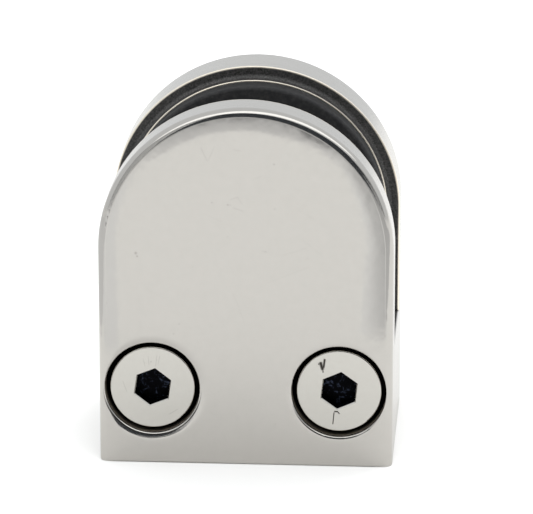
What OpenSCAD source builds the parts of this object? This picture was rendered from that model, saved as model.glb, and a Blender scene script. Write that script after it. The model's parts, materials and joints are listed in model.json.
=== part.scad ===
// Glass panel clamp, made of cast and polished stainless steel.
// A D-shaped body and a D-shaped cover grip the edge of a glass panel between
// two rubber pads. Two socket screws draw the cover towards the body, and one
// bolt through the base block fixes the clamp to a post or a wall.
//
// Millimetres. The origin is at the middle of the bottom face, +Z is up
// and the cover faces -Y.

/* [Outline] */
// Width of the clamp, which is also the diameter of its arch
clamp_w = 45; // [42:0.5:60]
// Height from the mounting face to the top of the arch
clamp_h = 56.5; // [52:0.5:80]
// Radius of the polished edge round the cover's outer face
edge_r = 1.3; // [0.6:0.1:2]
// Radius of the edge round the rear jaw's outer face
rear_edge_r = 0.65; // [0.65, 0.8, 1.1, 1.3]
// Radius of the crisp edge round each jaw's inner face
inner_edge_r = 0.2; // [0.1:0.05:0.5]
// Radius of the eased edges at the foot and at the parting line
foot_r = 0.35; // [0.2:0.05:0.8]
// Width of the band where the polished outer face rolls off to its edge
shoulder_w = 4.8; // [3:0.1:8]
// Radius of that roll-off, seen in section
shoulder_r = 30; // [24:1:90]

/* [Jaws] */
// Thickness of the cover, which is the front jaw
cover_t = 6.1; // [5.8:0.1:9]
// Thickness of the rear jaw
rear_t = 8.2; // [5:0.1:10]
// Distance between the inner faces of the two jaws
mouth = 19; // [17:0.5:28]
// Height of the base block, up to the floor of the slot
block_h = 17.1; // [16.8:0.1:24]
// Width of the bare border between a jaw's edge and its pad's land
border_w = 1.9; // [1.3:0.1:4]
// Height of the land above the jaw's inner face
land_h = 1.2; // [0.6:0.1:1.6]
// Radius of the land's polished edge
land_r = 0.2; // [0.1:0.05:0.5]
// Radius of the cast fillet round the foot of the land
land_fillet_r = 0.8; // [0.3:0.1:1]

/* [Pads] */
// Thickness of each rubber pad
pad_t = 3.3; // [2:0.1:4.5]
// How far a pad stays inside the edge of its land
pad_inset = 0.25; // [0.1:0.05:1]
// Radius of the pad's edge
pad_r = 0.5; // [0.2:0.1:0.9]
// Diameter of the two studs that hold a pad in its jaw
stud_d = 4; // [3:0.5:6]
// Length of a stud
stud_l = 2; // [1:0.1:2.8]
// Distance between the two studs
stud_spacing = 17; // [12:0.5:20]

/* [Clamp screws] */
// Distance from each side of the clamp to the axis of the screw beside it
screw_inset = 8.2; // [8:0.1:9]
// Height of the screws above the mounting face
screw_z = 12; // [8.2:0.1:12.4]
// Diameter of a screw's head
head_d = 13; // [12:0.1:13.2]
// Height of the head
head_h = 3.8; // [3.2:0.1:3.9]
// Depth of the head's face below the face of the cover
head_recess = 0.7; // [0.2:0.1:0.8]
// Radius of the head's eased rim
head_r = 0.2; // [0.1:0.05:0.6]
// Gap all round the head in its counterbore
head_gap = 0.75; // [0.5:0.05:1]
// Radius of the counterbore's eased mouth
mouth_r = 0.35; // [0.2:0.05:0.5]
// Width of the band where the cover's face rolls off into the left counterbore
left_roll_w = 1.35; // [0.7:0.05:1.4]
// Radius of that roll-off, seen in section
left_roll_r = 3; // [2.6:0.1:12]
// Width of the band where the cover's face rolls off into the right counterbore
right_roll_w = 0.9; // [0.7:0.05:1.4]
// Radius of that roll-off, seen in section
right_roll_r = 5; // [4:0.5:12]
// Nominal diameter of the thread
thread_d = 8; // [6:0.5:8]
// Length of the shank under the head
shank_l = 16; // [12:0.5:18]
// Depth of the threaded holes in the block
thread_depth = 17; // [16.8:0.1:20]
// Width across the flats of the hex socket
hex_af = 5.1; // [4:0.1:6]
// Depth of the hex socket
hex_depth = 2.4; // [1.5:0.1:2.8]
// Width of the bevel along the socket's six edges
hex_bevel = 0.15; // [0.05:0.05:0.3]
// Turn of the left screw's socket, clockwise from upright
left_hex_turn = 8; // [0:1:59]
// Turn of the right screw's socket, clockwise from upright
right_hex_turn = 6; // [0:1:59]

/* [Fixing bolt hole] */
// Diameter of the hole for the bolt that fixes the clamp
fixing_d = 8.5; // [6.5:0.1:9]
// Diameter of the counterbore for that bolt's head
fixing_head_d = 14.2; // [12:0.1:15]
// Depth of that counterbore below the floor of the slot
fixing_head_depth = 6; // [4:0.5:9]
// Width of the chamfer at the hole's lower mouth
fixing_chamfer = 0.5; // [0.2:0.1:1]

/* [Fits] */
// Gap between the cover and the block when the screws are home
parting_gap = 0.1; // [0.05:0.05:0.4]
// Radial gap round the shank in the thread, and gap under the head
running_gap = 0.05; // [0.03:0.01:0.09]
// Radial gap round the shank where it passes through the cover
cover_hole_gap = 0.25; // [0.15:0.05:0.5]
// Gap between the cover's land or a pad and the floor of the slot
floor_gap = 0.3; // [0.2:0.1:1]
// Gap round and behind a pad's stud in its hole
stud_gap = 0.1; // [0.05:0.05:0.2]

/* [Hidden] */
$fn = 96;

arch_r = clamp_w / 2;                        // radius of the arch
arch_z = clamp_h - arch_r;                   // height of the arch's centre
clamp_d = cover_t + mouth + rear_t;          // depth over both jaws
front_y = -clamp_d / 2;                      // outer face of the cover
cover_in_y = front_y + cover_t;              // inner face of the cover
rear_in_y = cover_in_y + mouth;              // inner face of the rear jaw
rear_y = clamp_d / 2;                        // outer face of the rear jaw
block_y = cover_in_y + parting_gap;          // front of the base block
slot_y = (cover_in_y + rear_in_y) / 2;       // middle of the slot
land_edge_r = arch_r - border_w;             // radius of the land's outline
pad_edge_r = land_edge_r - pad_inset;        // radius of a pad's outline
pad_z = block_h + floor_gap;                 // bottom of the pads
screw_x = arch_r - screw_inset;              // distance of the screws from the middle
counterbore_r = head_d / 2 + head_gap;       // radius of the cover's counterbores
counterbore_h = head_recess + head_h + running_gap;
shank_r = thread_d / 2 - running_gap;        // plain stand-in for the thread
overshoot = 1;                               // how far a cut runs past a face
fillet_sink = 0.02;                          // how far a fillet dips under its face
stud_zs = [for (side = [-1, 1]) (pad_z + clamp_h - border_w) / 2 + side * stud_spacing / 2];

steel = [0.76, 0.75, 0.73];
screw_steel = [0.80, 0.79, 0.77];
rubber = [0.10, 0.10, 0.10];

// Section of a plate of half width w and thickness t, from its middle to its
// edge. Its outer face lies at y = 0 and rolls off along one long arc, which is
// tangent to the edge's own arc of radius r. The edge of the inner face has
// the radius inner_r.
module rolled_section(w, t, roll_w, roll_r, r, inner_r) {
    start_x = w - roll_w;
    edge_x = w - r;
    tilt = asin((edge_x - start_x) / (roll_r - r));
    edge_y = roll_r - (roll_r - r) * cos(tilt);
    tangent = [edge_x + r * sin(tilt), edge_y - r * cos(tilt)];
    difference() {
        union() {
            square([edge_x, t - inner_r]);
            translate([0, edge_y]) {
                square([w, t - inner_r - edge_y]);
                square([w - inner_r, t - edge_y]);
            }
            translate([edge_x, edge_y])
                circle(r);
            translate([w - inner_r, t - inner_r])
                circle(inner_r);
        }
        difference() {
            translate([start_x, -overshoot])
                square([tangent.x - start_x, tangent.y + overshoot]);
            translate([start_x, roll_r])
                circle(roll_r);
        }
    }
}

// Section of a jaw of thickness t, with radius r on its outer edge
module jaw_section(t, r) {
    rolled_section(arch_r, t, shoulder_w, shoulder_r, r, inner_edge_r);
}

// Section of a slab, from its middle to its edge. It rises from y = 0 to
// height h, with an eased top edge, and is sunk by root below y = 0.
module slab_section(half_w, h, r, root) {
    translate([0, -root])
        square([half_w, h - r + root]);
    square([half_w - r, h]);
    translate([half_w - r, h - r])
        circle(r);
}

// Sweeps its child section round the arch and down both legs to height z_from.
// The section's y runs along +Y.
module d_sweep(z_from) {
    translate([0, 0, arch_z])
        rotate([90, 0, 0])
            mirror([0, 0, 1])
                rotate_extrude(angle = 180)
                    children();
    translate([0, 0, z_from])
        linear_extrude(height = arch_z - z_from)
            for (side = [0, 1])
                mirror([side, 0])
                    children();
}

// A rectangle from one corner to the opposite one, with eased corners
module eased_rect(from, to, r) {
    size = to - from;
    translate(from + [r, 0])
        square(size - [2 * r, 0]);
    translate(from + [0, r])
        square(size - [0, 2 * r]);
    for (x = [r, size.x - r], y = [r, size.y - r])
        translate(from + [x, y])
            circle(r);
}

// Its child, eased where it meets the ground between two depths and along
// both lower sides
module grounded(y_from, y_to) {
    top = clamp_h + 2 * overshoot;
    intersection() {
        children();
        rotate([90, 0, 90])
            linear_extrude(height = clamp_w + 2 * overshoot, center = true)
                eased_rect([y_from, 0], [y_to, top], foot_r);
        rotate([90, 0, 0])
            linear_extrude(height = clamp_d + 2 * overshoot, center = true)
                eased_rect([-arch_r, 0], [arch_r, top], foot_r);
    }
}

// Places its children at both clamp screws
module at_screws() {
    for (side = [-1, 1])
        translate([side * screw_x, 0, screw_z])
            children();
}

// Blind holes for a pad's studs, bored towards +Y from the land at y = 0
module stud_holes() {
    for (z = stud_zs)
        translate([0, -overshoot, z])
            rotate([-90, 0, 0])
                cylinder(h = stud_l + stud_gap + overshoot, d = stud_d + 2 * stud_gap);
}

// The base block, with eased edges at the parting line and along its top.
// Its back reaches into the rear jaw, past the jaw's inner edge.
module base_block() {
    root_y = rear_in_y + inner_edge_r + foot_r;
    intersection() {
        linear_extrude(height = block_h)
            eased_rect([-arch_r, block_y], [arch_r, root_y], foot_r);
        rotate([90, 0, 0])
            linear_extrude(height = clamp_d, center = true)
                eased_rect([-arch_r, -overshoot], [arch_r, block_h], foot_r);
    }
}

// Through hole for the fixing bolt, with room for its head under the slot
module fixing_hole() {
    translate([0, slot_y, 0]) {
        translate([0, 0, -overshoot])
            cylinder(h = block_h + 2 * overshoot, d = fixing_d);
        translate([0, 0, block_h - fixing_head_depth])
            cylinder(h = fixing_head_depth + overshoot, d = fixing_head_d);
        cylinder(h = fixing_chamfer, r1 = fixing_d / 2 + fixing_chamfer, r2 = fixing_d / 2);
    }
}

// The land on a jaw's inner face at y = 0, which rises towards +Y out of a
// cast fillet and reaches down to height z_from. The fillet is sunk a little,
// so that it runs into the face.
module land(z_from) {
    d_sweep(z_from) {
        slab_section(land_edge_r, land_h, land_r, overshoot);
        translate([land_edge_r, -fillet_sink])
            difference() {
                translate([-land_r, 0])
                    square([land_fillet_r + land_r, land_fillet_r]);
                translate([land_fillet_r, land_fillet_r])
                    circle(land_fillet_r);
            }
    }
}

module body() {
    color(steel)
        difference() {
            union() {
                grounded(block_y, rear_y)
                    translate([0, rear_y, 0])
                        mirror([0, 1, 0])
                            d_sweep(0)
                                jaw_section(rear_t, rear_edge_r);
                grounded(block_y, rear_y)
                    base_block();
                translate([0, rear_in_y, 0])
                    mirror([0, 1, 0])
                        land(block_h - foot_r);
            }
            fixing_hole();
            at_screws()
                translate([0, block_y - overshoot, 0])
                    rotate([-90, 0, 0])
                        cylinder(h = thread_depth + overshoot, d = thread_d);
            translate([0, rear_in_y - land_h, 0])
                stud_holes();
        }
}

// Counterbored hole for one screw, cut from the cover's face at y = 0, which
// rolls off into the counterbore
module screw_hole(roll_w, roll_r) {
    reach = roll_w + overshoot;
    depth = 2 * mouth_r + roll_w;
    rotate([90, 0, 0])
        mirror([0, 0, 1])
            rotate_extrude() {
                difference() {
                    translate([0, -overshoot])
                        square([counterbore_r + roll_w, overshoot + roll_w]);
                    translate([counterbore_r + reach, 0])
                        mirror([1, 0])
                            rolled_section(reach, depth, roll_w, roll_r, mouth_r, mouth_r);
                }
                square([counterbore_r, counterbore_h]);
                square([thread_d / 2 + cover_hole_gap, cover_t + overshoot]);
            }
}

module cover() {
    color(steel)
        difference() {
            union() {
                grounded(front_y, cover_in_y)
                    translate([0, front_y, 0])
                        d_sweep(0)
                            jaw_section(cover_t, edge_r);
                translate([0, cover_in_y, 0])
                    land(pad_z);
            }
            translate([-screw_x, front_y, screw_z])
                screw_hole(left_roll_w, left_roll_r);
            translate([screw_x, front_y, screw_z])
                screw_hole(right_roll_w, right_roll_r);
            translate([0, cover_in_y + land_h, 0])
                mirror([0, 1, 0])
                    stud_holes();
        }
}

// A rubber pad that lies on a land at y = 0 and faces +Y
module pad() {
    d_sweep(pad_z)
        slab_section(pad_edge_r, pad_t, pad_r, 0);
    for (z = stud_zs)
        translate([0, 0, z])
            rotate([90, 0, 0])
                cylinder(h = stud_l, d = stud_d);
}

module rear_pad() {
    color(rubber)
        translate([0, rear_in_y - land_h, 0])
            mirror([0, 1, 0])
                pad();
}

module front_pad() {
    color(rubber)
        translate([0, cover_in_y + land_h, 0])
            pad();
}

// A low-head socket screw. Its face lies at y = 0 and its shank runs along +Y.
module clamp_screw(hex_turn) {
    hex_r = hex_af / sqrt(3);
    bevel_r = 2 * hex_bevel / sqrt(3);
    shank_end = head_h + shank_l;
    end_chamfer = thread_d / 8;
    color(screw_steel)
        rotate([-90, 0, 0])
            difference() {
                rotate_extrude() {
                    square([head_d / 2 - head_r, head_h]);
                    translate([0, head_r])
                        square([head_d / 2, head_h - head_r]);
                    translate([head_d / 2 - head_r, head_r])
                        circle(head_r);
                    polygon([
                        [0, 0],
                        [shank_r, head_h / 2],
                        [shank_r, shank_end - end_chamfer],
                        [shank_r - end_chamfer, shank_end],
                        [0, shank_end]
                    ]);
                }
                rotate([0, 0, hex_turn - 90]) {
                    translate([0, 0, -overshoot])
                        cylinder(h = hex_depth + overshoot, r = hex_r, $fn = 6);
                    translate([0, 0, -hex_bevel])
                        cylinder(h = 2 * hex_bevel, r1 = hex_r + 2 * bevel_r, r2 = hex_r, $fn = 6);
                }
            }
}

module left_screw() {
    translate([-screw_x, front_y + head_recess, screw_z])
        clamp_screw(left_hex_turn);
}

module right_screw() {
    translate([screw_x, front_y + head_recess, screw_z])
        clamp_screw(right_hex_turn);
}

body();
cover();
rear_pad();
front_pad();
left_screw();
right_screw();
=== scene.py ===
# %% [markdown]
# # A glass panel clamp in stainless steel
# The clamp holds the edge of a glass panel between two D-shaped jaws, with a
# rubber pad on each. Its solids come ready-made and exact from the frame, so
# this lesson is about what makes steel look like steel: how each surface was
# worked, what it mirrors, and where it has been marked.

# %% Load the frame
import json
import math
import bpy
from mathutils import Matrix, Vector


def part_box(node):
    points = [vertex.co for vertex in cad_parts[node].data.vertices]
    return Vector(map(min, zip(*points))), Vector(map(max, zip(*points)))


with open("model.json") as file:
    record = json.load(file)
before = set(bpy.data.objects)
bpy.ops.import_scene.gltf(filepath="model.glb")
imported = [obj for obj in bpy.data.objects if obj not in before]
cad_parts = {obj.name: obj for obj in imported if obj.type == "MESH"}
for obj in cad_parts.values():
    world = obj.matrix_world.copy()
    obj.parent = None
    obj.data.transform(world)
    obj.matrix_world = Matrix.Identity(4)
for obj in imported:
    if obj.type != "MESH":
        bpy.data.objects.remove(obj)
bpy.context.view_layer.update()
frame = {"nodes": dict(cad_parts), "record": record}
print("the frame holds", ", ".join(sorted(frame["nodes"])))

# %% [markdown]
# ## Sizes and places
# The frame is in metres, and a maker thinks in millimetres, so one factor
# turns the one into the other. The boxes of the solids and the axes of the
# joints give every place below. The few sizes that they can't give, such as
# the radius of an edge, are named here once.

# %% Sizes and places
MM = 0.001
PAD_T = 3.3 * MM
LAND_H = 1.2 * MM
INNER_EDGE_R = 0.2 * MM
OUTER_EDGE_R = 1.3 * MM
MOUTH_R = 0.35 * MM
FLOOR_GAP = 0.3 * MM
HEAD_R = 6.5 * MM
BORE_R = 7.25 * MM
SOCKET_R = 2.95 * MM
SOCKET_BEVEL = 0.15 * MM
FIXING_BORE_R = 7.1 * MM

cover_low, cover_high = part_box("cover")
arch_r = (cover_high.x - cover_low.x) / 2
arch_z = cover_high.z - arch_r
front_y = cover_low.y
rear_in_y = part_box("rear_pad")[0].y + PAD_T + LAND_H
cover_in_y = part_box("front_pad")[1].y - PAD_T - LAND_H
slot_y = (rear_in_y + cover_in_y) / 2
slot_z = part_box("rear_pad")[0].z - FLOOR_GAP
middle = Vector((0.0, (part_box("body")[1].y + front_y) / 2, cover_high.z / 2))

joints = {joint["name"]: joint for joint in frame["record"]["behaviour"]["joints"]}
left_axis = Vector(joints["left_screw_turn"]["pos_m"])
right_axis = Vector(joints["right_screw_turn"]["pos_m"])
print(f"the clamp is {2 * arch_r / MM:.1f} mm wide and {cover_high.z / MM:.1f} mm high")
print(f"its screws stand {(right_axis.x - left_axis.x) / MM:.1f} mm apart")

# %% [markdown]
# ## Helpers
# Colours are written as the hex values that a designer reads off a swatch.
# Blender reckons in linear light, so one function converts them. Another adds
# a shader node, sets it up and joins its inputs, so that each node takes one
# line.

# %% Helpers
def linear(hex_colour):
    """An sRGB hex colour as linear red, green, blue and alpha."""
    values = [int(hex_colour[i:i + 2], 16) / 255 for i in (1, 3, 5)]
    return [v / 12.92 if v <= 0.04045 else ((v + 0.055) / 1.055) ** 2.4 for v in values] + [1.0]


def add(tree, kind, inputs=None, **settings):
    """Adds a node of that kind, with its settings, values and links."""
    new = tree.nodes.new(kind)
    for name, value in settings.items():
        setattr(new, name, value)
    for socket, value in (inputs or {}).items():
        if isinstance(value, bpy.types.NodeSocket):
            tree.links.new(value, new.inputs[socket])
        else:
            new.inputs[socket].default_value = value
    return new


def new_material(name):
    """An empty material with its output and one Principled shader."""
    material = bpy.data.materials.new(name)
    material.use_nodes = True
    tree = material.node_tree
    tree.nodes.clear()
    shader = add(tree, "ShaderNodeBsdfPrincipled")
    add(tree, "ShaderNodeOutputMaterial", {"Surface": shader.outputs[0]})
    return material, tree, shader


def finish(node_name, material):
    """Gives a solid of the frame its finish."""
    for slot in frame["nodes"][node_name].material_slots:
        slot.material = material
    print(node_name, "is", material.name)

# %% [markdown]
# ## The camera
# A long lens from some way off keeps the jaws' sides nearly parallel. The
# camera stands a little to the right and looks down enough to show the gap
# between the jaws.

# %% Camera
AZIMUTH = math.radians(3.764)
ELEVATION = math.radians(17.623)
ROLL = math.radians(-0.03)
DISTANCE = 0.6608
SENSOR_W = 36.0
LENS = 295.2

aim = Vector((3.25 * MM, front_y, 33.48 * MM))
sight = Vector((
    math.sin(AZIMUTH) * math.cos(ELEVATION),
    -math.cos(AZIMUTH) * math.cos(ELEVATION),
    math.sin(ELEVATION),
))
camera = bpy.data.objects.new("camera", bpy.data.cameras.new("camera"))
bpy.context.scene.collection.objects.link(camera)
camera.data.sensor_width = SENSOR_W
camera.data.lens = LENS
camera.matrix_world = (
    Matrix.Translation(aim + DISTANCE * sight)
    @ sight.to_track_quat("Z", "Y").to_matrix().to_4x4()
    @ Matrix.Rotation(ROLL, 4, "Z")
)
bpy.context.scene.camera = camera
print("the camera stands at", [round(v, 3) for v in camera.matrix_world.translation], "m")

# %% [markdown]
# ## The stage
# Polished steel shows little of itself and much of the room, so the room is
# built with care. The table is matt white and runs out of sight. The room is
# pale, and a touch cooler than the table, as daylight is. The camera sees it a
# little brighter than the clamp does, so that it shows as clean white.

# %% Table and room
def plane(name, centre, half_x, half_y, normal):
    """A flat rectangle about a centre, facing along normal."""
    corners = [(-half_x, -half_y, 0), (half_x, -half_y, 0), (half_x, half_y, 0), (-half_x, half_y, 0)]
    turn = Vector(normal).to_track_quat("Z", "Y").to_matrix()
    mesh = bpy.data.meshes.new(name)
    mesh.from_pydata([Vector(centre) + turn @ Vector(c) for c in corners], [], [(0, 1, 2, 3)])
    sheet = bpy.data.objects.new(name, mesh)
    bpy.context.scene.collection.objects.link(sheet)
    return sheet


table_paint, tree, shader = new_material("matt white table")
shader.inputs["Base Color"].default_value = linear("#F5F4F2")
shader.inputs["Roughness"].default_value = 0.9
shader.inputs["Specular IOR Level"].default_value = 0.1
table = plane("table", (0, 0, -0.02 * MM), 2.0, 2.0, (0, 0, 1))
table.data.materials.append(table_paint)

world = bpy.data.worlds.new("pale room")
bpy.context.scene.world = world
world.use_nodes = True
tree = world.node_tree
background = tree.nodes["Background"]
background.inputs["Color"].default_value = linear("#F2F5F8")
ray = add(tree, "ShaderNodeLightPath")
strength = add(tree, "ShaderNodeMapRange", {
    "Value": ray.outputs["Is Camera Ray"], "To Min": 1.14, "To Max": 1.3,
})
tree.links.new(strength.outputs[0], background.inputs["Strength"])

# %% [markdown]
# A bright metal edge looks crisp only if it mirrors something dark beside
# something bright, so black and grey cards stand round the clamp. The black
# cards stand behind the camera and draw the dark line along the arch. The grey
# ones below and beside them, and a pale one on the left, soften the ends of
# that line.
# The other cards lie on the table, further out and on each side, and shade the
# face gently towards its edge. Only shiny surfaces see the cards.

# %% Cards
CARDS_Y = -0.9  # where the standing cards stand, in metres


def card(name, near, far, centre, half_x, half_y, normal, turn=0.0):
    """A matt card that only a shiny surface sees, shaded from its edge nearest the clamp."""
    paint, tree, shader = new_material(name + " paint")
    local = add(tree, "ShaderNodeSeparateXYZ", {0: add(tree, "ShaderNodeTexCoord").outputs["Generated"]})
    shade = add(tree, "ShaderNodeMixRGB", {0: local.outputs[1], 1: linear(far), 2: linear(near)})
    tree.links.new(shade.outputs[0], shader.inputs["Base Color"])
    shader.inputs["Roughness"].default_value = 1.0
    shader.inputs["Specular IOR Level"].default_value = 0.0
    sheet = plane(name, (0, 0, 0), half_x, half_y, normal)
    sheet.matrix_world = Matrix.Translation(centre) @ Matrix.Rotation(math.radians(turn), 4, "Z")
    sheet.data.materials.append(paint)
    sheet.visible_camera = sheet.visible_diffuse = sheet.visible_shadow = False
    return sheet


# Standing cards, behind the camera
card("black card", "#44474B", "#44474B", (0.47, CARDS_Y, 0.56), 0.83, 0.43, (0, 1, 0))
card("low black card", "#44474B", "#44474B", (0.34, CARDS_Y, 0.065), 0.32, 0.065, (0, 1, 0))
card("low grey card", "#9E9E9E", "#9E9E9E", (-0.17, CARDS_Y, 0.065), 0.19, 0.065, (0, 1, 0))
card("low right grey card", "#B8B8B8", "#B8B8B8", (0.98, CARDS_Y + 0.01, 0.125), 0.32, 0.125, (0, 1, 0))
card("end grey card", "#B8B8B8", "#B8B8B8", (1.90, CARDS_Y, 0.495), 0.60, 0.495, (0, 1, 0))
card("pale card", "#CCCCCC", "#CCCCCC", (-0.98, CARDS_Y, 0.4), 0.62, 0.4, (0, 1, 0))
# Lying cards, a little above one another where they overlap
card("far grey card", "#D4D4D4", "#C8C8C8", (0.0, -0.72, 1 * MM), 0.9, 0.41, (0, 0, 1))
card("narrow dark card", "#909090", "#404346", (0.045, -0.63, 3 * MM), 0.045, 0.22, (0, 0, 1), -10.0)
card("right grey card", "#C6C6C6", "#A0A0A0", (0.195, -0.335, 2 * MM), 0.15, 0.27, (0, 0, 1), 4.0)
card("right ramp card", "#F2F2F2", "#C0C0C0", (0.0415, -0.27, 3 * MM), 0.2, 0.011, (0, 0, 1), 94.4)
card("left grey card", "#ECECEC", "#ECECEC", (-0.208, -0.150, 2 * MM), 0.15, 0.13, (0, 0, 1), -15.0)
card("side grey card", "#DCDCDC", "#D6D6D6", (-0.255, 0.03, 3 * MM), 0.18, 0.23, (0, 0, 1))

# %% [markdown]
# One wide softbox hangs in front of the clamp, high up, and is what the bright
# line along each front edge mirrors. It is oval, so the line tapers to its
# ends. A lamp behind on the right lifts the table to clean white and lays a
# faint shadow in front, which a weaker lamp in front fills. Both are left out
# of every reflection, as a lamp behind a diffuser would be.

# %% Softbox and lamp
def softbox(name, place, size_x, size_y, watts, target):
    """A soft oval light that faces a target."""
    light = bpy.data.lights.new(name, "AREA")
    light.shape = "ELLIPSE"
    light.size = size_x
    light.size_y = size_y
    light.energy = watts
    holder = bpy.data.objects.new(name, light)
    bpy.context.scene.collection.objects.link(holder)
    towards = Vector(place) - target
    holder.matrix_world = Matrix.Translation(place) @ towards.to_track_quat("Z", "Y").to_matrix().to_4x4()
    return holder


softbox("overhead softbox", (0.1, -0.30, 0.75), 2.3, 0.36, 2.5, middle)
front_lamp = softbox("front lamp", (0.0, -0.6, 0.5), 1.0, 0.5, 1.4, middle)
back_lamp = softbox("back lamp", (0.15, 0.5, 0.55), 1.0, 0.56, 2.5, middle)
front_lamp.visible_glossy = back_lamp.visible_glossy = False

bpy.context.scene.view_settings.view_transform = "Standard"

# %% [markdown]
# ## Marks of use
# A clamp that has been handled carries small pits and fine scratches. Each is
# a soft mask in the shader. A pit is a round spot about a point. A scratch is
# a thin rectangle: a Mapping node moves and turns its middle to the origin and
# scales it to one unit, so that inside it every coordinate is below one.

# %% Masks for marks
def pit(tree, place, x, z, r):
    """A mask that is one in a round spot on a surface that faces the front."""
    flat = add(tree, "ShaderNodeVectorMath", {0: place, 1: (1, 0, 1)}, operation="MULTIPLY")
    away = add(tree, "ShaderNodeVectorMath", {0: flat.outputs[0], 1: (x, 0, z)}, operation="DISTANCE")
    return add(tree, "ShaderNodeMapRange", {
        "Value": away.outputs["Value"], "From Min": 1.3 * r, "From Max": 0.5 * r,
    }).outputs[0]


def scratch(tree, place, start, end, width):
    """A mask that is one along a line from start to end, each given as x and z."""
    run = Vector((end[0] - start[0], 0, end[1] - start[1]))
    local = add(tree, "ShaderNodeMapping", {
        "Vector": place,
        "Location": ((start[0] + end[0]) / 2, 0, (start[1] + end[1]) / 2),
        "Rotation": (0, -math.atan2(run.z, run.x), 0),
        "Scale": (run.length / 2, 1, width / 2),
    }, vector_type="TEXTURE")
    size = add(tree, "ShaderNodeVectorMath", {0: local.outputs[0]}, operation="ABSOLUTE")
    parts = add(tree, "ShaderNodeSeparateXYZ", {0: size.outputs[0]})
    along = add(tree, "ShaderNodeMapRange", {
        "Value": parts.outputs[0], "From Min": 1.0, "From Max": 0.8,
    })
    across = add(tree, "ShaderNodeMapRange", {
        "Value": parts.outputs[2], "From Min": 1.4, "From Max": 0.4,
    })
    both = add(tree, "ShaderNodeMath", {0: along.outputs[0], 1: across.outputs[0]}, operation="MULTIPLY")
    return both.outputs[0]


def band(tree, value, low, high):
    """A mask that is one where a length lies between low and high."""
    half = (high - low) / 2
    away = add(tree, "ShaderNodeMath", {0: value, 1: (low + high) / 2}, operation="SUBTRACT")
    away = add(tree, "ShaderNodeMath", {0: away.outputs[0]}, operation="ABSOLUTE")
    return add(tree, "ShaderNodeMapRange", {
        "Value": away.outputs[0], "From Min": half + 0.02 * MM, "From Max": half - 0.01 * MM,
    }).outputs[0]


def any_of(tree, masks):
    """One mask that is the largest of several."""
    result = masks[0]
    for mask in masks[1:]:
        result = add(tree, "ShaderNodeMath", {0: result, 1: mask}, operation="MAXIMUM").outputs[0]
    return result

# %% [markdown]
# ## Satin polished cast steel
# The jaws are stainless steel, cast in a ceramic mould, then ground and
# polished. Fine polishing leaves the outside bright but not a mirror: the
# sheen is soft and slightly cloudy, with a few pits where gas was trapped, and
# faint scratches that run every way. Steel that nobody polished stays as it came
# from the mould, dark and grainy, which is how the jaws look inside. The
# counterbores are turned, and their walls are painted darker with depth, to
# near black, as painted shade in the narrow gap.
#
# All three finishes are one material, because they meet on one solid. A mask
# chooses between them by place: how far a point lies in front of the jaw's inner
# face, how far from the arch's axis, and how far from the axis of a bore.

# %% Steel of the jaws
CLOUD = 1.4 * MM         # size of the cloudy patches in the polish
GRAIN = 0.22 * MM        # size of the sand grain on cast steel
PIT_SPACING = 2.6 * MM   # size of the cells that may each hold a gas pit
WAVE = 3.2 * MM          # spacing of the waves that hand polishing leaves
GROUND_ROUGHNESS = 0.27  # sides, left as the grinding belt made them
FILED_ROUGHNESS = 0.38   # edges that a file broke
CAST_ROUGHNESS = 0.62    # steel from the mould, and the turned bores
PIT_WEAR = 0.35          # how far a pit darkens the polish
SCRATCH_WEAR = 0.14      # how far a scratch does


def jaw_lengths(tree, parts, inner_y, outwards):
    """How far a point lies inside the jaw's outline, and in front of its inner face."""
    above = add(tree, "ShaderNodeMath", {0: parts.outputs[2], 1: arch_z}, operation="SUBTRACT")
    above = add(tree, "ShaderNodeMath", {0: above.outputs[0], 1: 0.0}, operation="MAXIMUM")
    spoke = add(tree, "ShaderNodeCombineXYZ", {0: parts.outputs[0], 2: above.outputs[0]})
    radius = add(tree, "ShaderNodeVectorMath", {0: spoke.outputs[0]}, operation="LENGTH")
    inset = add(tree, "ShaderNodeMath", {0: arch_r, 1: radius.outputs["Value"]}, operation="SUBTRACT")
    depth = add(tree, "ShaderNodeMath", {
        0: parts.outputs[1], 1: outwards, 2: -inner_y * outwards,
    }, operation="MULTIPLY_ADD")
    return inset.outputs[0], depth.outputs[0]


def cast_mask(tree, z, inset, depth, has_floor):
    """One where steel is as cast: inside the polished rim, and on the slot's floor."""
    inside = add(tree, "ShaderNodeMapRange", {
        "Value": inset, "From Min": 0.8 * INNER_EDGE_R, "From Max": 1.6 * INNER_EDGE_R,
    })
    behind = add(tree, "ShaderNodeMapRange", {
        "Value": depth, "From Min": -0.08 * MM, "From Max": -0.03 * MM,
    })
    under_land = add(tree, "ShaderNodeMapRange", {
        "Value": depth, "From Min": LAND_H - 0.05 * MM, "From Max": LAND_H - 0.15 * MM,
    })
    cast = add(tree, "ShaderNodeMath", {0: inside.outputs[0], 1: behind.outputs[0]}, operation="MULTIPLY")
    cast = add(tree, "ShaderNodeMath", {0: cast.outputs[0], 1: under_land.outputs[0]}, operation="MULTIPLY")
    if not has_floor:
        return cast.outputs[0]
    level = add(tree, "ShaderNodeMath", {0: z, 1: slot_z, 2: 0.02 * MM}, operation="COMPARE")
    ahead = add(tree, "ShaderNodeMapRange", {"Value": depth, "From Min": -0.05 * MM, "From Max": 0.0})
    floor = add(tree, "ShaderNodeMath", {0: level.outputs[0], 1: ahead.outputs[0]}, operation="MULTIPLY")
    return any_of(tree, [cast.outputs[0], floor.outputs[0]])


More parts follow.
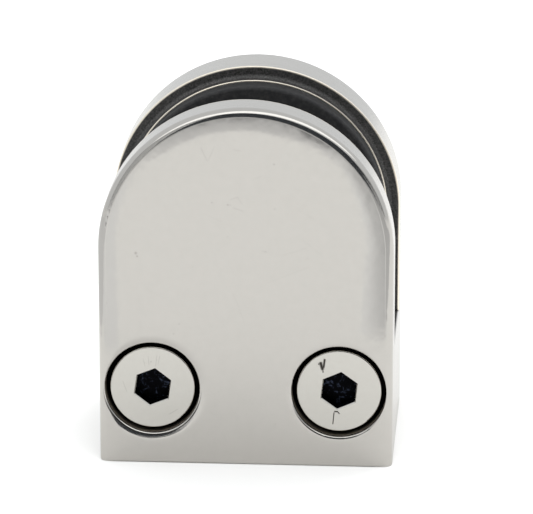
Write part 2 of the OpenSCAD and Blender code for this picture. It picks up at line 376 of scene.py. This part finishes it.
def bore_finish_and_shade(tree, place, parts, bore_axis, bore_r, bore_from):
    """Distance from the nearest bore's axis, a mask for its turned wall, and the wall's colour, painted
    darker with depth as painted shade.

    The mask has no far end, so its painted shade also darkens a flat face that the bore's
    axis leaves by, such as the inner face of the cover round each shank.
    """
    direction, mouth, polished_depth = bore_from
    if direction == "y":
        # The bores are a pair about the middle, so one side stands for both
        mirrored = add(tree, "ShaderNodeVectorMath", {0: place}, operation="ABSOLUTE")
        mirrored = add(tree, "ShaderNodeSeparateXYZ", {0: mirrored.outputs[0]})
        arm = add(tree, "ShaderNodeCombineXYZ", {0: mirrored.outputs[0], 2: parts.outputs[2]})
        centre = (abs(bore_axis.x), 0, bore_axis.z)
        into = add(tree, "ShaderNodeMath", {0: parts.outputs[1], 1: mouth}, operation="SUBTRACT")
    else:
        arm = add(tree, "ShaderNodeCombineXYZ", {0: parts.outputs[0], 1: parts.outputs[1]})
        centre = (bore_axis.x, bore_axis.y, 0)
        into = add(tree, "ShaderNodeMath", {0: mouth, 1: parts.outputs[2]}, operation="SUBTRACT")
    reach = add(tree, "ShaderNodeVectorMath", {0: arm.outputs[0], 1: centre}, operation="DISTANCE")
    near = add(tree, "ShaderNodeMapRange", {
        "Value": reach.outputs["Value"], "From Min": bore_r + 0.2 * MM, "From Max": bore_r + 0.1 * MM,
    })
    turned_and_shaded = add(tree, "ShaderNodeMapRange", {
        "Value": into.outputs[0], "From Min": polished_depth, "From Max": polished_depth + 0.2 * MM,
    })
    turned_and_shaded = add(tree, "ShaderNodeMath", {0: near.outputs[0], 1: turned_and_shaded.outputs[0]}, operation="MULTIPLY")
    # Deeper in, the wall is painted darker, to near black: painted shade in the narrow gap
    shade_depth = add(tree, "ShaderNodeMapRange", {
        "Value": into.outputs[0],
        "From Min": polished_depth + 0.2 * MM, "From Max": polished_depth + 2.2 * MM,
    })
    painted_shade_wall = add(tree, "ShaderNodeMixRGB", {0: shade_depth.outputs[0], 1: linear("#D6CABA"), 2: linear("#14120F")})
    return reach.outputs["Value"], turned_and_shaded.outputs[0], painted_shade_wall.outputs[0]


def filed_edge_highlight_mask(tree, z, depth):
    """One on the broken edges round the slot, whose bright cream colour is a painted highlight. Below it
    the jaws close on the block.
    """
    edge = add(tree, "ShaderNodeMapRange", {
        "Value": depth, "From Min": -1.5 * INNER_EDGE_R, "From Max": -1.1 * INNER_EDGE_R,
    })
    clear = add(tree, "ShaderNodeMapRange", {
        "Value": z, "From Min": slot_z + 0.02 * MM, "From Max": slot_z + 0.12 * MM,
    })
    filed_and_highlit = add(tree, "ShaderNodeMath", {0: edge.outputs[0], 1: clear.outputs[0]}, operation="MULTIPLY")
    return filed_and_highlit.outputs[0]


def wear_mask(tree, place, marks, scratches):
    """Gas pits at random, and the pits and scratches that are in known places."""
    cells = add(tree, "ShaderNodeTexVoronoi", {"Vector": place, "Scale": 1 / PIT_SPACING})
    small = add(tree, "ShaderNodeMapRange", {
        "Value": cells.outputs["Distance"], "From Min": 0.045, "From Max": 0.02,
    })
    # Each cell has one point, and only some cells have a pit
    chance = add(tree, "ShaderNodeSeparateColor", {0: cells.outputs["Color"]})
    chosen = add(tree, "ShaderNodeMath", {0: chance.outputs[0], 1: 0.6}, operation="GREATER_THAN")
    pits = add(tree, "ShaderNodeMath", {0: small.outputs[0], 1: chosen.outputs[0]}, operation="MULTIPLY")
    pits = any_of(tree, [pits.outputs[0]] + [pit(tree, place, *mark) for mark in marks])
    worn = add(tree, "ShaderNodeMath", {0: pits, 1: PIT_WEAR}, operation="MULTIPLY")
    if not scratches:
        return worn.outputs[0]
    lines = any_of(tree, [scratch(tree, place, *line) for line in scratches])
    faint = add(tree, "ShaderNodeMath", {0: lines, 1: SCRATCH_WEAR}, operation="MULTIPLY")
    return any_of(tree, [worn.outputs[0], faint.outputs[0]])


def add_painted_shade_lines(tree, parts, inset, reach, bore_axis, bore_r, colour):
    """A dull line painted along the crown's outer edge, as painted shade over a bright reflected ridge, and
    a dark crescent painted on the lower left of the left bore's lip as a painted reflection.
    """
    x, z = parts.outputs[0], parts.outputs[2]
    crown_edge_shade = band(tree, inset, 0.88 * OUTER_EDGE_R, OUTER_EDGE_R)
    crown = add(tree, "ShaderNodeMapRange", {
        "Value": z, "From Min": arch_z + 4 * MM, "From Max": arch_z + 14 * MM,
    })
    crown_edge_shade = add(tree, "ShaderNodeMath", {0: crown_edge_shade, 1: crown.outputs[0]}, operation="MULTIPLY")
    lip_dark_reflection = band(tree, reach, bore_r + 0.63 * MOUTH_R, bore_r + MOUTH_R)
    lower = add(tree, "ShaderNodeMapRange", {
        "Value": z, "From Min": bore_axis.z, "From Max": bore_axis.z - 3 * MM,
    })
    leftwards = add(tree, "ShaderNodeMath", {0: x, 1: 0.0}, operation="LESS_THAN")
    lip_dark_reflection = add(tree, "ShaderNodeMath", {0: lip_dark_reflection, 1: lower.outputs[0]}, operation="MULTIPLY")
    lip_dark_reflection = add(tree, "ShaderNodeMath", {0: lip_dark_reflection.outputs[0], 1: leftwards.outputs[0]}, operation="MULTIPLY")
    # Painted shade on the crown's edge, then the painted dark reflection on the left bore's lip
    colour = add(tree, "ShaderNodeMixRGB", {0: crown_edge_shade.outputs[0], 1: colour, 2: linear("#908E8A")})
    colour = add(tree, "ShaderNodeMixRGB", {0: lip_dark_reflection.outputs[0], 1: colour.outputs[0], 2: linear("#33312F")})
    return colour.outputs[0]


def jaw_steel(name, inner_y, outwards, bore_axis, bore_r, bore_from,
              has_floor=False, marks=(), scratches=(), with_painted_lines=False):
    """Polished, cast and bored steel for one jaw, with painted shade deep in the bores, a painted highlight
    on the filed edges and, where asked, painted lines on the crown and the left bore's lip.

    inner_y and outwards say where its inner face lies and which way that
    looks along y. bore_axis is a point on the axis of its bores, and
    bore_from says along which axis they run, from where, and how deep their
    mouths are polished.
    """
    material, tree, shader = new_material(name)
    place = add(tree, "ShaderNodeTexCoord").outputs["Object"]
    parts = add(tree, "ShaderNodeSeparateXYZ", {0: place})
    z = parts.outputs[2]
    inset, depth = jaw_lengths(tree, parts, inner_y, outwards)
    cast = cast_mask(tree, z, inset, depth, has_floor)
    filed_and_highlit = filed_edge_highlight_mask(tree, z, depth)
    reach, turned_and_shaded, painted_shade_wall = bore_finish_and_shade(tree, place, parts, bore_axis, bore_r, bore_from)
    worn = wear_mask(tree, place, marks, scratches)

    # Colour: cloudy polish, its wear, a painted highlight on the filed edges, then cast steel and the
    # turned bores, painted darker with depth as painted shade
    cloud = add(tree, "ShaderNodeTexNoise", {
        "Vector": place, "Scale": 1 / CLOUD, "Detail": 5.0, "Roughness": 0.65,
    })
    colour = add(tree, "ShaderNodeMixRGB", {
        0: cloud.outputs[0], 1: linear("#B6B3AE"), 2: linear("#B0ADA8"),
    })
    colour = add(tree, "ShaderNodeMixRGB", {0: worn, 1: colour.outputs[0], 2: linear("#6E6A64")})
    # The filed edges are painted a bright cream: a painted highlight
    colour = add(tree, "ShaderNodeMixRGB", {0: filed_and_highlit, 1: colour.outputs[0], 2: linear("#EFE6D6")})
    colour = colour.outputs[0]
    # Painted shade on the crown's edge and a painted dark reflection on the left bore's lip
    if with_painted_lines:
        colour = add_painted_shade_lines(tree, parts, inset, reach, bore_axis, bore_r, colour)
    sand = add(tree, "ShaderNodeTexNoise", {
        "Vector": place, "Scale": 1 / GRAIN, "Detail": 4.0, "Roughness": 0.7,
    })
    mould = add(tree, "ShaderNodeMapRange", {"Value": sand.outputs[0], "From Min": 0.35, "From Max": 0.7})
    mould = add(tree, "ShaderNodeMixRGB", {
        0: mould.outputs[0], 1: linear("#403F3F"), 2: linear("#737270"),
    })
    colour = add(tree, "ShaderNodeMixRGB", {0: cast, 1: colour, 2: mould.outputs[0]})
    colour = add(tree, "ShaderNodeMixRGB", {0: turned_and_shaded, 1: colour.outputs[0], 2: painted_shade_wall})
    tree.links.new(colour.outputs[0], shader.inputs["Base Color"])
    shader.inputs["Metallic"].default_value = 1.0

    # Roughness: each later finish is duller than the one it covers
    rough = add(tree, "ShaderNodeMapRange", {
        "Value": cloud.outputs[0], "From Min": 0.3, "From Max": 0.7, "To Min": 0.09, "To Max": 0.13,
    })
    ground = add(tree, "ShaderNodeMapRange", {"Value": inset, "From Min": 0.05 * MM, "From Max": 0.01 * MM})
    for mask, value in (
        (ground.outputs[0], GROUND_ROUGHNESS), (filed_and_highlit, FILED_ROUGHNESS),
        (any_of(tree, [cast, turned_and_shaded]), CAST_ROUGHNESS),
    ):
        rough = add(tree, "ShaderNodeMix", {0: mask, 2: rough.outputs[0], 3: value})
    tree.links.new(rough.outputs[0], shader.inputs["Roughness"])

    # Relief: shallow waves in the polish, then the grain and the dents over them
    wave = add(tree, "ShaderNodeTexNoise", {
        "Vector": place, "Scale": 1 / WAVE, "Detail": 2.0, "Roughness": 0.5,
    })
    bump = add(tree, "ShaderNodeBump", {"Height": wave.outputs[0], "Strength": 1.0, "Distance": 0.03 * MM})
    share = add(tree, "ShaderNodeMapRange", {"Value": cast, "To Min": 0.01, "To Max": 1.0})
    height = add(tree, "ShaderNodeMath", {0: sand.outputs[0], 1: share.outputs[0]}, operation="MULTIPLY")
    dents = add(tree, "ShaderNodeMath", {0: worn, 1: -0.3, 2: height.outputs[0]}, operation="MULTIPLY_ADD")
    bump = add(tree, "ShaderNodeBump", {
        "Height": dents.outputs[0], "Strength": 0.8, "Distance": 0.06 * MM, "Normal": bump.outputs[0],
    })
    tree.links.new(bump.outputs[0], shader.inputs["Normal"])
    return material


cover_marks = [(mark_x * MM, mark_z * MM, mark_r * MM) for mark_x, mark_z, mark_r in (
    (-16.6, 33.7, 0.24), (-16.4, 33.2, 0.16),
    (-5.0, 41.9, 0.12), (-2.6, 41.6, 0.15), (-2.2, 41.6, 0.08),
    (4.4, 48.1, 0.13), (4.5, 41.1, 0.11), (3.1, 34.3, 0.12), (2.7, 34.4, 0.08),
    (-10.1, 22.5, 0.1), (9.4, 33.4, 0.08),
)]
cover_scratches = [((x0 * MM, z0 * MM), (x1 * MM, z1 * MM), w * MM) for x0, z0, x1, z1, w in (
    (-6.4, 40.2, -3.0, 38.7, 0.06), (7.6, 41.4, 12.4, 38.2, 0.05), (5.3, 33.6, 9.8, 35.2, 0.06),
    (3.0, 29.2, 10.2, 32.2, 0.05), (-2.0, 28.0, 0.0, 22.7, 0.06), (-15.0, 28.0, -12.7, 26.8, 0.06),
    (8.3, 36.7, 12.0, 33.5, 0.05), (-2.3, 42.4, -0.9, 42.9, 0.14), (-1.2, 42.9, -0.3, 41.6, 0.12),
    (-1.9, 41.2, -0.2, 40.6, 0.16), (-6.7, 50.6, -5.6, 48.3, 0.16), (-5.6, 48.3, -4.5, 50.9, 0.12),
    (-1.8, 50.3, -0.6, 50.1, 0.14), (1.0, 45.6, 2.6, 46.3, 0.06), (-12.0, 45.2, -10.6, 43.1, 0.05),
)]
finish("body", jaw_steel(
    "satin polished cast steel, body", rear_in_y, -1.0,
    Vector((0, slot_y, 0)), FIXING_BORE_R, ("z", slot_z, 0.5 * MM), has_floor=True,
))
finish("cover", jaw_steel(
    "satin polished cast steel, cover", cover_in_y, 1.0,
    right_axis, BORE_R, ("y", front_y, 0.6 * MM),
    marks=cover_marks, scratches=cover_scratches, with_painted_lines=True,
))

# %% [markdown]
# ## Bright steel screws
# The screws are stainless wire, headed cold in a polished die, so their faces
# come out smoother and brighter than the castings. The punch that made the
# socket leaves it rough inside. The socket and the side of each head in its
# gap are painted near black as painted shade, with painted bluish glints, and
# only the bevel along the socket's six edges shines. Keys and other screws have
# left a nick, a hooked scratch and some faint scuffs on the heads.

# %% Steel of the screws
def screw_steel(name, axis, wear, scratches, pits):
    """Bright steel for one screw, whose head's face has its middle at axis."""
    material, tree, shader = new_material(name)
    place = add(tree, "ShaderNodeTexCoord").outputs["Object"]
    parts = add(tree, "ShaderNodeSeparateXYZ", {0: place})
    spoke = add(tree, "ShaderNodeCombineXYZ", {0: parts.outputs[0], 2: parts.outputs[2]})
    radius = add(tree, "ShaderNodeVectorMath", {
        0: spoke.outputs[0], 1: (axis.x, 0, axis.z),
    }, operation="DISTANCE")
    depth = add(tree, "ShaderNodeMath", {0: parts.outputs[1], 1: axis.y}, operation="SUBTRACT")

    # Painted shade inside the socket, below its bevel
    inner = add(tree, "ShaderNodeMapRange", {
        "Value": radius.outputs["Value"], "From Min": SOCKET_R + 0.3 * MM, "From Max": SOCKET_R + 0.2 * MM,
    })
    sunk = add(tree, "ShaderNodeMapRange", {
        "Value": depth.outputs[0], "From Min": SOCKET_BEVEL, "From Max": SOCKET_BEVEL + 0.15 * MM,
    })
    socket = add(tree, "ShaderNodeMath", {0: inner.outputs[0], 1: sunk.outputs[0]}, operation="MULTIPLY")
    # Painted shade down the side of the head, in its narrow gap
    outer = add(tree, "ShaderNodeMapRange", {
        "Value": radius.outputs["Value"], "From Min": HEAD_R - 0.3 * MM, "From Max": HEAD_R - 0.2 * MM,
    })
    down = add(tree, "ShaderNodeMapRange", {
        "Value": depth.outputs[0], "From Min": 0.2 * MM, "From Max": 0.9 * MM,
    })
    side = add(tree, "ShaderNodeMath", {0: outer.outputs[0], 1: down.outputs[0]}, operation="MULTIPLY")
    shaded = any_of(tree, [socket.outputs[0], side.outputs[0]])

    # Painted bluish glints scattered in the painted shade
    glints = add(tree, "ShaderNodeTexNoise", {
        "Vector": place, "Scale": 1 / (1.1 * MM), "Detail": 6.0, "Roughness": 0.65, "Distortion": 1.5,
    })
    glints = add(tree, "ShaderNodeMapRange", {
        "Value": glints.outputs[0], "From Min": 0.54, "From Max": 0.74,
    })
    painted_shade_and_glints = add(tree, "ShaderNodeMixRGB", {
        0: glints.outputs[0], 1: linear("#0B0B0D"), 2: linear("#4E566A"),
    })
    cloud = add(tree, "ShaderNodeTexNoise", {
        "Vector": place, "Scale": 1 / (0.9 * MM), "Detail": 4.0, "Roughness": 0.6,
    })
    bright = add(tree, "ShaderNodeMixRGB", {
        0: cloud.outputs[0], 1: linear("#BBB9B3"), 2: linear("#B6B3AD"),
    })
    marks = any_of(tree, [
        scratch(
            tree, place, (axis.x + x0 * MM, axis.z + z0 * MM),
            (axis.x + x1 * MM, axis.z + z1 * MM), w * MM,
        )
        for x0, z0, x1, z1, w in scratches
    ] + [pit(tree, place, axis.x + x * MM, axis.z + z * MM, r * MM) for x, z, r in pits])
    marks = add(tree, "ShaderNodeMath", {0: marks, 1: wear}, operation="MULTIPLY").outputs[0]
    colour = add(tree, "ShaderNodeMixRGB", {0: marks, 1: bright.outputs[0], 2: linear("#3A3632")})
    colour = add(tree, "ShaderNodeMixRGB", {0: shaded, 1: colour.outputs[0], 2: painted_shade_and_glints.outputs[0]})
    tree.links.new(colour.outputs[0], shader.inputs["Base Color"])
    rough = add(tree, "ShaderNodeMapRange", {
        "Value": cloud.outputs[0], "From Min": 0.3, "From Max": 0.7, "To Min": 0.1, "To Max": 0.14,
    })
    rough = add(tree, "ShaderNodeMix", {0: any_of(tree, [shaded, marks]), 2: rough.outputs[0], 3: 0.5})
    tree.links.new(rough.outputs[0], shader.inputs["Roughness"])
    shader.inputs["Metallic"].default_value = 1.0
    dent = add(tree, "ShaderNodeBump", {
        "Height": marks, "Strength": 0.5, "Distance": 0.04 * MM,
    }, invert=True)
    tree.links.new(dent.outputs[0], shader.inputs["Normal"])
    return material


finish("left_screw", screw_steel(
    "cold headed steel, left screw", left_axis, 0.3, [
        (-0.65, 5.1, -0.5, 3.5, 0.06), (0.75, 5.3, 0.5, 3.3, 0.06), (1.2, 5.2, 0.85, 3.6, 0.06),
        (-1.4, 4.6, -1.1, 3.2, 0.05), (-4.6, 1.0, -3.9, -0.9, 0.06), (2.4, -4.4, 4.0, -3.4, 0.05),
    ], [(-0.2, 4.1, 0.1), (-1.2, 3.9, 0.07)],
))
finish("right_screw", screw_steel(
    "cold headed steel, right screw", right_axis, 1.0, [
        (-2.9, 4.7, -2.5, 3.3, 0.5), (-2.2, 5.2, -2.4, 3.6, 0.34), (-2.5, 3.5, -2.45, 2.9, 0.16),
        (-0.75, -3.35, -0.95, -5.5, 0.17), (-0.75, -3.3, -0.1, -3.35, 0.22), (-0.25, -3.3, 0.1, -3.7, 0.14),
    ], [(-3.1, 4.3, 0.12)],
))

# %% [markdown]
# ## Moulded rubber pads
# The pads are black EPDM rubber, moulded against a fine blasted steel die that
# leaves a dull, even grain. Rubber takes up dust, which shows as a faint grey
# bloom where the grain stands proud.

# %% Rubber of the pads
rubber, tree, shader = new_material("moulded black rubber")
place = add(tree, "ShaderNodeTexCoord").outputs["Object"]
bloom = add(tree, "ShaderNodeTexNoise", {
    "Vector": place, "Scale": 1 / (0.6 * MM), "Detail": 5.0, "Roughness": 0.7,
})
dust = add(tree, "ShaderNodeMapRange", {"Value": bloom.outputs[0], "From Min": 0.45, "From Max": 0.75})
colour = add(tree, "ShaderNodeMixRGB", {0: dust.outputs[0], 1: linear("#1B1B1C"), 2: linear("#323130")})
tree.links.new(colour.outputs[0], shader.inputs["Base Color"])
shader.inputs["Roughness"].default_value = 0.7
shader.inputs["Specular IOR Level"].default_value = 0.35
grain = add(tree, "ShaderNodeTexNoise", {"Vector": place, "Scale": 1 / (0.15 * MM), "Detail": 2.0})
bump = add(tree, "ShaderNodeBump", {"Height": grain.outputs[0], "Strength": 0.4, "Distance": 0.02 * MM})
tree.links.new(bump.outputs[0], shader.inputs["Normal"])
for name in ("rear_pad", "front_pad"):
    finish(name, rubber)
